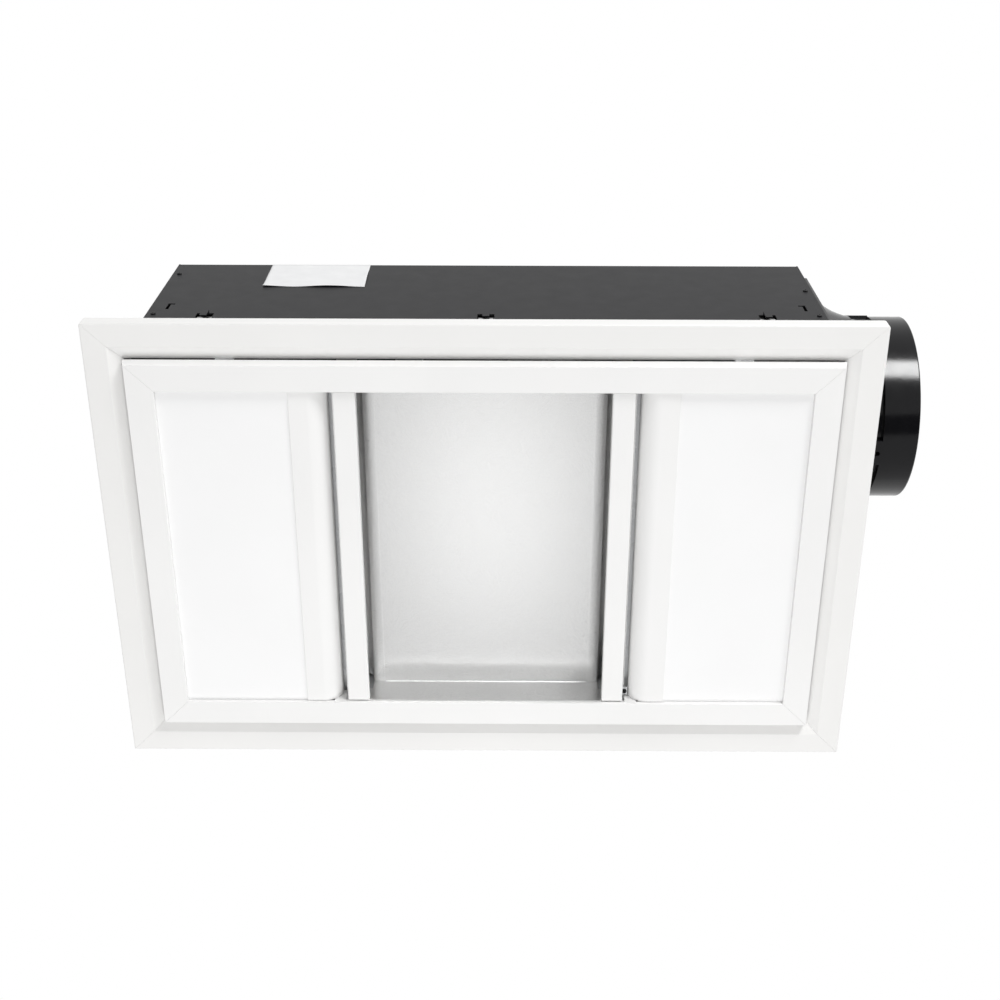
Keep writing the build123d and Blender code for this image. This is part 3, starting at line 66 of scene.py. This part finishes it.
# Studio
floor_height = -2.4
floor_size = 60.0
fill_level = 0.72
floor_glow = 0.22
floor_colour = (0.8, 0.8, 0.8)
key_place = (-0.03, 0.98, -1.5)
key_size = 0.9
key_power = 12.8
strip_place = (0.95, -2.05, -0.62)
strip_size = 0.66
strip_power = 25.0
lamp_target = (0.0, 0.0, 0.05)

# Cards that only reflections show, each with its centre, its width and length, and its glow
cards = {
    "dim_card": ((0.0, 0.95, -1.95), (1.1, 1.5), 0.4),
    "bright_card": ((-0.01, 0.79, -1.72), (0.38, 0.66), 1.52),
    "camera_card": ((0.0, -1.15, -1.75), (1.0, 0.7), 0.03),
    "low_card": ((0.95, -0.1, -1.6), (0.8, 2.4), 0.03),
    "strip_card": ((0.97, -2.1, -0.63), (0.9, 0.9), 23.0),
}

# Finish sizes
coat_grain = 1400.0
sheet_grain = 2600.0
sheet_edge = 0.0004
mitre_edge = 0.00012
sheet_crease = 32.0
rail_crease = 18.0
moulded_edge = 0.0006
edge_segments = 2
weld_distance = 0.000002
flat_angle = 0.4
unsoftened = ("steel_screws", "wiring_loom", "impeller", "fascia_rivets")
moulded_slots = ("scroll_grey", "duct_black", "flap_grey", "gland_black", "terminal_white", "driver_white")

# Heating coils inside the quartz tubes
coil_pitch = 0.0019
coil_radius = 0.0026
coil_wire = 0.0003
coil_steps = 12
coil_tail = 0.012

# Bare label on the near wall
label_columns = 48
label_rows = 24
label_sheet = 0.00012
label_lift = 0.0012
label_curl = 0.2
label_waves = (9, 7)
label_wave_start = 2


def add_camera():
    """Camera at the photo's place, looking up at the fascia."""
    yaw = radians(camera_yaw)
    pitch = radians(camera_pitch)
    forward = Vector((sin(yaw) * cos(pitch), cos(yaw) * cos(pitch), sin(pitch)))
    turn = forward.to_track_quat("-Z", "Y").to_matrix().to_4x4()
    data = bpy.data.cameras.new("photo_camera")
    data.lens = camera_lens
    data.sensor_width = camera_sensor
    data.clip_end = camera_reach
    camera = bpy.data.objects.new("photo_camera", data)
    roll = Matrix.Rotation(radians(camera_roll), 4, "Z")
    camera.matrix_world = Matrix.Translation(camera_place) @ turn @ roll
    scene.collection.objects.link(camera)
    scene.camera = camera


def seen_directly(tree):
    """1 for camera, glossy and transmission rays, 0 for light that falls on the object."""
    path = tree.nodes.new("ShaderNodeLightPath")
    either = tree.nodes.new("ShaderNodeMath")
    either.operation = "MAXIMUM"
    any_ray = tree.nodes.new("ShaderNodeMath")
    any_ray.operation = "MAXIMUM"
    tree.links.new(path.outputs["Is Camera Ray"], either.inputs[0])
    tree.links.new(path.outputs["Is Glossy Ray"], either.inputs[1])
    tree.links.new(either.outputs[0], any_ray.inputs[0])
    tree.links.new(path.outputs["Is Transmission Ray"], any_ray.inputs[1])
    return any_ray.outputs[0]


def add_world():
    """White where it is seen, an even soft fill where it lights."""
    world = bpy.data.worlds.new("studio")
    world.use_nodes = True
    tree = world.node_tree
    tree.nodes.clear()
    white = tree.nodes.new("ShaderNodeBackground")
    white.inputs["Color"].default_value = (1, 1, 1, 1)
    fill = tree.nodes.new("ShaderNodeBackground")
    fill.inputs["Color"].default_value = (1, 1, 1, 1)
    fill.inputs["Strength"].default_value = fill_level
    mix = tree.nodes.new("ShaderNodeMixShader")
    out = tree.nodes.new("ShaderNodeOutputWorld")
    tree.links.new(seen_directly(tree), mix.inputs["Fac"])
    tree.links.new(fill.outputs[0], mix.inputs[1])
    tree.links.new(white.outputs[0], mix.inputs[2])
    tree.links.new(mix.outputs[0], out.inputs["Surface"])
    scene.world = world


def add_floor():
    """Pale floor, far below the unit as in a room."""
    mesh = bpy.data.meshes.new("studio_floor")
    half = floor_size / 2
    corners = [(-half, -half, floor_height), (half, -half, floor_height)]
    corners += [(half, half, floor_height), (-half, half, floor_height)]
    mesh.from_pydata(corners, [], [(0, 1, 2, 3)])
    floor = bpy.data.objects.new("studio_floor", mesh)
    scene.collection.objects.link(floor)
    material = bpy.data.materials.new("studio_floor")
    material.use_nodes = True
    tree = material.node_tree
    tree.nodes.clear()
    matt = tree.nodes.new("ShaderNodeBsdfDiffuse")
    matt.inputs["Color"].default_value = (*floor_colour, 1)
    glow = tree.nodes.new("ShaderNodeEmission")
    scale = tree.nodes.new("ShaderNodeMath")
    scale.operation = "MULTIPLY"
    scale.inputs[1].default_value = floor_glow
    both = tree.nodes.new("ShaderNodeAddShader")
    out = tree.nodes.new("ShaderNodeOutputMaterial")
    tree.links.new(seen_directly(tree), scale.inputs[0])
    tree.links.new(scale.outputs[0], glow.inputs["Strength"])
    tree.links.new(matt.outputs[0], both.inputs[0])
    tree.links.new(glow.outputs[0], both.inputs[1])
    tree.links.new(both.outputs[0], out.inputs["Surface"])
    mesh.materials.append(material)


def add_lamp(name, place, size, power, reflected=True):
    """Soft square lamp aimed at the unit."""
    data = bpy.data.lights.new(name, "AREA")
    data.shape = "SQUARE"
    data.size = size
    data.energy = power
    lamp = bpy.data.objects.new(name, data)
    lamp.location = place
    aim = Vector(lamp_target) - Vector(place)
    lamp.rotation_euler = aim.to_track_quat("-Z", "Y").to_euler()
    lamp.visible_glossy = reflected
    scene.collection.objects.link(lamp)


def add_card(name, centre, size, glow):
    """Evenly glowing card below the unit, seen only in reflections."""
    mesh = bpy.data.meshes.new(name)
    facing = (-Vector(centre)).to_track_quat("Z", "Y").to_matrix()
    half_x = size[0] / 2
    half_y = size[1] / 2
    corners = [(-half_x, -half_y, 0), (half_x, -half_y, 0), (half_x, half_y, 0), (-half_x, half_y, 0)]
    mesh.from_pydata([facing @ Vector(c) + Vector(centre) for c in corners], [], [(0, 1, 2, 3)])
    card = bpy.data.objects.new(name, mesh)
    scene.collection.objects.link(card)
    material = bpy.data.materials.new(name)
    material.use_nodes = True
    tree = material.node_tree
    tree.nodes.clear()
    light = tree.nodes.new("ShaderNodeEmission")
    light.inputs["Strength"].default_value = glow
    out = tree.nodes.new("ShaderNodeOutputMaterial")
    tree.links.new(light.outputs[0], out.inputs["Surface"])
    mesh.materials.append(material)
    card.visible_camera = False
    card.visible_diffuse = False
    card.visible_transmission = False
    card.visible_shadow = False


# Node helpers shared by the materials


def new_material(name, colour, roughness, metallic=0.0):
    material = bpy.data.materials.new(name)
    material.use_nodes = True
    tree = material.node_tree
    shader = tree.nodes["Principled BSDF"]
    shader.inputs["Base Color"].default_value = (*colour, 1)
    shader.inputs["Roughness"].default_value = roughness
    shader.inputs["Metallic"].default_value = metallic
    return material, tree, shader


def noise(tree, scale, detail=2.0, stretch=(1, 1, 1)):
    """Noise over the piece's own place in metres, from 0 to 1."""
    coords = tree.nodes.new("ShaderNodeTexCoord")
    mapping = tree.nodes.new("ShaderNodeMapping")
    mapping.inputs["Scale"].default_value = stretch
    field = tree.nodes.new("ShaderNodeTexNoise")
    field.inputs["Scale"].default_value = scale
    field.inputs["Detail"].default_value = detail
    tree.links.new(coords.outputs["Object"], mapping.inputs["Vector"])
    tree.links.new(mapping.outputs["Vector"], field.inputs["Vector"])
    return field.outputs["Fac"]


def cells(tree, scale):
    """Random value per cell of a crystal pattern."""
    coords = tree.nodes.new("ShaderNodeTexCoord")
    field = tree.nodes.new("ShaderNodeTexVoronoi")
    field.inputs["Scale"].default_value = scale
    split = tree.nodes.new("ShaderNodeSeparateColor")
    tree.links.new(coords.outputs["Object"], field.inputs["Vector"])
    tree.links.new(field.outputs["Color"], split.inputs["Color"])
    return split.outputs["Red"]


def spread(tree, factor, low=0.0, high=1.0, start=0.3, end=0.7):
    """Maps the busy middle of a noise onto a range."""
    ramp = tree.nodes.new("ShaderNodeMapRange")
    ramp.inputs["From Min"].default_value = start
    ramp.inputs["From Max"].default_value = end
    ramp.inputs["To Min"].default_value = low
    ramp.inputs["To Max"].default_value = high
    tree.links.new(factor, ramp.inputs["Value"])
    return ramp.outputs["Result"]


def shade_between(tree, shader, factor, first, second):
    mix = tree.nodes.new("ShaderNodeMix")
    mix.data_type = "RGBA"
    colours = [socket for socket in mix.inputs if socket.type == "RGBA"]
    colours[0].default_value = (*first, 1)
    colours[1].default_value = (*second, 1)
    result = [socket for socket in mix.outputs if socket.type == "RGBA"][0]
    tree.links.new(factor, mix.inputs["Factor"])
    tree.links.new(result, shader.inputs["Base Color"])


def bump(tree, shader, height, depth):
    node = tree.nodes.new("ShaderNodeBump")
    node.inputs["Distance"].default_value = depth
    tree.links.new(height, node.inputs["Height"])
    tree.links.new(node.outputs["Normal"], shader.inputs["Normal"])


def scaled(colour, share):
    return tuple(channel * share for channel in colour)


# Materials, one short recipe for each kind of finish


def powder_coat(name, colour, roughness, specular=0.5, variation=0.03, unevenness=0.09):
    """Baked powder coat: faint cloudiness, uneven gloss and a fine orange peel."""
    material, tree, shader = new_material(name, colour, roughness)
    shader.inputs["Specular IOR Level"].default_value = specular
    cloud = noise(tree, scale=9.0, detail=3.0)
    shade_between(tree, shader, spread(tree, cloud), scaled(colour, 1 - variation), colour)
    low = roughness - unevenness / 2
    gloss = spread(tree, noise(tree, scale=60.0, detail=4.0), low, low + unevenness)
    tree.links.new(gloss, shader.inputs["Roughness"])
    bump(tree, shader, noise(tree, coat_grain), depth=0.00002)
    return material


def moulded(name, colour, roughness, specular=0.5, grain=700.0, depth=0.00001):
    """Injection-moulded plastic: slight sink clouds and a fine mould texture."""
    material, tree, shader = new_material(name, colour, roughness)
    shader.inputs["Specular IOR Level"].default_value = specular
    cloud = noise(tree, scale=25.0, detail=3.0)
    shade_between(tree, shader, spread(tree, cloud), scaled(colour, 0.9), colour)
    gloss = spread(tree, noise(tree, scale=120.0, detail=3.0), roughness - 0.03, roughness + 0.04)
    tree.links.new(gloss, shader.inputs["Roughness"])
    bump(tree, shader, noise(tree, grain), depth)
    return material


def rolled_metal(name, colour, roughness, stretch=(1, 40, 40), depth=0.000004):
    """Mill-finish sheet: long faint rolling lines."""
    material, tree, shader = new_material(name, colour, roughness, metallic=1.0)
    lines = noise(tree, scale=60.0, detail=5.0, stretch=stretch)
    shade_between(tree, shader, spread(tree, lines), scaled(colour, 0.88), colour)
    gloss = spread(tree, lines, roughness - 0.06, roughness + 0.08)
    tree.links.new(gloss, shader.inputs["Roughness"])
    bump(tree, shader, lines, depth)
    return material


def zinc_coat(name):
    """Galvanised sheet with its crystal spangle."""
    low = (0.6, 0.61, 0.62)
    high = (0.78, 0.79, 0.8)
    material, tree, shader = new_material(name, high, 0.4, metallic=1.0)
    spangle = cells(tree, scale=110.0)
    shade_between(tree, shader, spangle, low, high)
    tree.links.new(spread(tree, spangle, 0.32, 0.5, start=0, end=1), shader.inputs["Roughness"])
    bump(tree, shader, noise(tree, scale=300.0, detail=3.0), depth=0.00001)
    return material


def satin_reflector(name):
    """Reflector sheet: bright anodised aluminium with a fine stipple."""
    colour = (0.93, 0.93, 0.925)
    material, tree, shader = new_material(name, colour, 0.28, metallic=1.0)
    stipple = noise(tree, sheet_grain)
    shade_between(tree, shader, spread(tree, stipple), scaled(colour, 0.94), colour)
    tree.links.new(spread(tree, stipple, 0.25, 0.31), shader.inputs["Roughness"])
    bump(tree, shader, stipple, depth=0.000012)
    return material


def opal(name):
    """Lit opal diffuser: soft white with a faint glow that varies a little at random."""
    colour = (0.86, 0.86, 0.86)
    material, tree, shader = new_material(name, colour, 0.35)
    shader.inputs["Emission Color"].default_value = (1, 1, 1, 1)
    glow = spread(tree, noise(tree, scale=14.0), 0.045, 0.06)
    tree.links.new(glow, shader.inputs["Emission Strength"])
    bump(tree, shader, noise(tree, scale=1800.0, detail=1.0), depth=0.000004)
    return material


def clear(name, tint, roughness, ior):
    """Clear quartz or acrylic with faint draw lines."""
    material, tree, shader = new_material(name, tint, roughness)
    shader.inputs["Transmission Weight"].default_value = 1.0
    shader.inputs["IOR"].default_value = ior
    lines = noise(tree, scale=40.0, stretch=(30, 1, 30))
    tree.links.new(spread(tree, lines, roughness, roughness + 0.06), shader.inputs["Roughness"])
    return material


def ceramic(name):
    """Unglazed steatite: chalky with small pores."""
    colour = (0.74, 0.71, 0.64)
    material, tree, shader = new_material(name, colour, 0.7)
    pores = noise(tree, scale=500.0, detail=6.0)
    shade_between(tree, shader, spread(tree, pores), scaled(colour, 0.85), colour)
    bump(tree, shader, pores, depth=0.00006)
    return material


def circuit_board(name):
    """White-masked board with a faint copper pattern under the mask."""
    colour = (0.8, 0.8, 0.77)
    material, tree, shader = new_material(name, colour, 0.4)
    tracks = cells(tree, scale=180.0)
    shade_between(tree, shader, spread(tree, tracks, start=0.4, end=0.6), scaled(colour, 0.93), colour)
    bump(tree, shader, tracks, depth=0.00001)
    return material


def woven_sleeve(name):
    """Black braided sleeve over the wires."""
    colour = (0.02, 0.02, 0.022)
    material, tree, shader = new_material(name, colour, 0.6)
    weave = noise(tree, scale=1500.0, detail=1.0)
    shade_between(tree, shader, spread(tree, weave), colour, scaled(colour, 2.2))
    bump(tree, shader, weave, depth=0.0002)
    return material


def label_film(name):
    """Matt silver film, left bare."""
    colour = (0.84, 0.845, 0.85)
    material, tree, shader = new_material(name, colour, 0.45)
    cloud = noise(tree, scale=60.0, detail=4.0)
    shade_between(tree, shader, spread(tree, cloud), scaled(colour, 0.94), colour)
    bump(tree, shader, noise(tree, scale=2500.0), depth=0.000008)
    return material


def make_finishes():
    """Finish for every material slot of the record."""
    return {
        "trim_white": powder_coat("trim_white", (0.865, 0.86, 0.848), 0.42),
        "panel_white": powder_coat("panel_white", (0.89, 0.887, 0.88), 0.42),
        "bar_white": powder_coat("bar_white", (0.89, 0.887, 0.88), 0.4),
        "plain_aluminium": rolled_metal("plain_aluminium", (0.8, 0.8, 0.81), 0.38),
        "opal_diffuser": opal("opal_diffuser"),
        "light_guide": clear("light_guide", (0.97, 0.98, 0.98), 0.03, 1.49),
        "led_board": circuit_board("led_board"),
        "zinc_sheet": zinc_coat("zinc_sheet"),
        "spring_steel": rolled_metal("spring_steel", (0.5, 0.5, 0.5), 0.3, stretch=(40, 40, 1)),
        "housing_charcoal": powder_coat(
            "housing_charcoal", (0.012, 0.012, 0.0135), 0.42, specular=0.12, variation=0.04, unevenness=0.03
        ),
        "screw_steel": rolled_metal("screw_steel", (0.03, 0.03, 0.031), 0.4, stretch=(20, 20, 20)),
        "bright_steel": rolled_metal("bright_steel", (0.55, 0.55, 0.56), 0.3, stretch=(20, 20, 20)),
        "bare_label": label_film("bare_label"),
        "reflector": satin_reflector("reflector"),
        "quartz": clear("quartz", (0.98, 0.98, 0.98), 0.02, 1.46),
        "element_wire": rolled_metal("element_wire", (0.33, 0.28, 0.24), 0.45, stretch=(30, 30, 30)),
        "ceramic_white": ceramic("ceramic_white"),
        "cutout_brown": moulded("cutout_brown", (0.09, 0.035, 0.018), 0.35),
        "scroll_grey": moulded("scroll_grey", (0.3, 0.31, 0.32), 0.5, specular=0.4),
        "impeller_black": moulded("impeller_black", (0.02, 0.02, 0.02), 0.4),
        "motor_grey": powder_coat("motor_grey", (0.2, 0.2, 0.21), 0.45),
        "black_rubber": moulded("black_rubber", (0.018, 0.018, 0.018), 0.75, specular=0.3),
        "duct_black": moulded(
            "duct_black", (0.005, 0.005, 0.006), 0.16, specular=0.24, grain=300.0, depth=0.000003
        ),
        "flap_grey": moulded("flap_grey", (0.16, 0.16, 0.165), 0.5),
        "terminal_white": moulded("terminal_white", (0.7, 0.7, 0.68), 0.4),
        "gland_black": moulded("gland_black", (0.02, 0.02, 0.02), 0.45),
        "driver_white": moulded("driver_white", (0.75, 0.75, 0.73), 0.45),
        "capacitor_black": moulded("capacitor_black", (0.02, 0.02, 0.022), 0.35),
        "loom_sleeve": woven_sleeve("loom_sleeve"),
    }


def dress_nodes(finishes):
    """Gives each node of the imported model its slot's finish."""
    for piece in nodes.values():
        for slot in piece.material_slots:
            slot.material = finishes[slot.material.name.split(".")[0]]


def smooth_group():
    """Node group that shades every face smooth, for the bevels' normals."""
    group = bpy.data.node_groups.new("smooth_faces", "GeometryNodeTree")
    group.interface.new_socket("Geometry", in_out="INPUT", socket_type="NodeSocketGeometry")
    group.interface.new_socket("Geometry", in_out="OUTPUT", socket_type="NodeSocketGeometry")
    start = group.nodes.new("NodeGroupInput")
    smooth = group.nodes.new("GeometryNodeSetShadeSmooth")
    end = group.nodes.new("NodeGroupOutput")
    group.links.new(start.outputs[0], smooth.inputs["Geometry"])
    group.links.new(smooth.outputs[0], end.inputs[0])
    return group


def soften(piece, width, crease, group):
    """Rounds the edges that turn by more than the crease angle, as bending or moulding leaves them."""
    weld = piece.modifiers.new("weld", "WELD")
    weld.merge_threshold = weld_distance
    flat = piece.modifiers.new("flat_faces", "DECIMATE")
    flat.decimate_type = "DISSOLVE"
    flat.angle_limit = radians(flat_angle)
    edge = piece.modifiers.new("soft_edges", "BEVEL")
    edge.width = width
    edge.segments = edge_segments
    edge.limit_method = "ANGLE"
    edge.angle_limit = radians(crease)
    edge.miter_outer = "MITER_ARC"
    smooth = piece.modifiers.new("smooth_faces", "NODES")
    smooth.node_group = group
    normals = piece.modifiers.new("even_normals", "WEIGHTED_NORMAL")
    normals.keep_sharp = True


def edge_width(name):
    """Rounding of a node's edges: mitres and reflector sheet are sharp, mouldings are softest."""
    if "_rail_" in name or slots[name] == "reflector":
        return mitre_edge
    if slots[name] in moulded_slots:
        return moulded_edge
    return sheet_edge


def crease_angle(name):
    """Least turn of an edge that stays crisp: the rails' long slopes meet their faces gently."""
    return rail_crease if "_rail_" in name else sheet_crease


def new_piece(name, mesh, body, slot, finishes, *replaced):
    piece = bpy.data.objects.new(name, mesh)
    scene.collection.objects.link(piece)
    mesh.materials.append(finishes[slot])
    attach(piece, body)
    if replaced:
        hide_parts(*replaced)
    return piece


def add_coils(finishes):
    """Wound resistance wire in both quartz tubes, with straight tails at the ends."""
    low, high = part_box("heating_elements")
    tube_low, tube_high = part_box("heat_tube_left")
    centre_z = (low.z + high.z) / 2
    coil_end = high.y - coil_tail
    turns = round(2 * coil_end / coil_pitch)
    curve = bpy.data.curves.new("element_coils", "CURVE")
    curve.dimensions = "3D"
    curve.bevel_depth = coil_wire
    curve.bevel_resolution = 1
    centre_x = (tube_low.x + tube_high.x) / 2
    for side in (centre_x, -centre_x):
        points = [(side, low.y, centre_z)]
        for step in range(turns * coil_steps + 1):
            angle = 2 * pi * step / coil_steps
            y = -coil_end + 2 * coil_end * step / (turns * coil_steps)
            points.append((side + coil_radius * cos(angle), y, centre_z + coil_radius * sin(angle)))
        points.append((side, high.y, centre_z))
        spline = curve.splines.new("POLY")
        spline.points.add(len(points) - 1)
        for point, place in zip(spline.points, points):
            point.co = (*place, 1)
    new_piece("element_coils", curve, "housing", "element_wire", finishes, "heating_elements")


def add_label(finishes):
    """Thin film label whose right and lower edges lift off the wall."""
    low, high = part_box("rating_label")
    width = high.x - low.x
    height = high.z - low.z
    back = high.y
    verts = []
    faces = []
    for row in range(label_rows + 1):
        v = row / label_rows
        for column in range(label_columns + 1):
            u = column / label_columns
            right = max(0.0, (u - 1 + label_curl) / label_curl) ** 2
            lower = max(0.0, (label_curl - v) / label_curl) ** 2
            along, up = label_waves
            wave = 0.5 + 0.5 * sin(along * u + label_wave_start) * cos(up * v)
            lift = label_lift * wave * min(1.0, right + lower)
            verts.append((low.x + u * width, back - label_sheet - lift, low.z + v * height))
    for row in range(label_rows):
        for column in range(label_columns):
            first = row * (label_columns + 1) + column
            above = first + label_columns + 1
            faces.append((first, first + 1, above + 1, above))
    mesh = bpy.data.meshes.new("blank_label")
    mesh.from_pydata(verts, [], faces)
    for face in mesh.polygons:
        face.use_smooth = True
    piece = new_piece("blank_label", mesh, "housing", "bare_label", finishes, "rating_label")
    thick = piece.modifiers.new("film", "SOLIDIFY")
    thick.thickness = label_sheet
    thick.offset = 1.0


finishes = make_finishes()
dress_nodes(finishes)
smooth_faces = smooth_group()
for name, piece in nodes.items():
    if name not in unsoftened:
        soften(piece, edge_width(name), crease_angle(name), smooth_faces)
add_coils(finishes)
add_label(finishes)

add_camera()
add_world()
add_floor()
add_lamp("key_lamp", key_place, key_size, key_power, reflected=False)
add_lamp("strip_lamp", strip_place, strip_size, strip_power)
for card_name, (centre, size, glow) in cards.items():
    add_card(card_name, centre, size, glow)
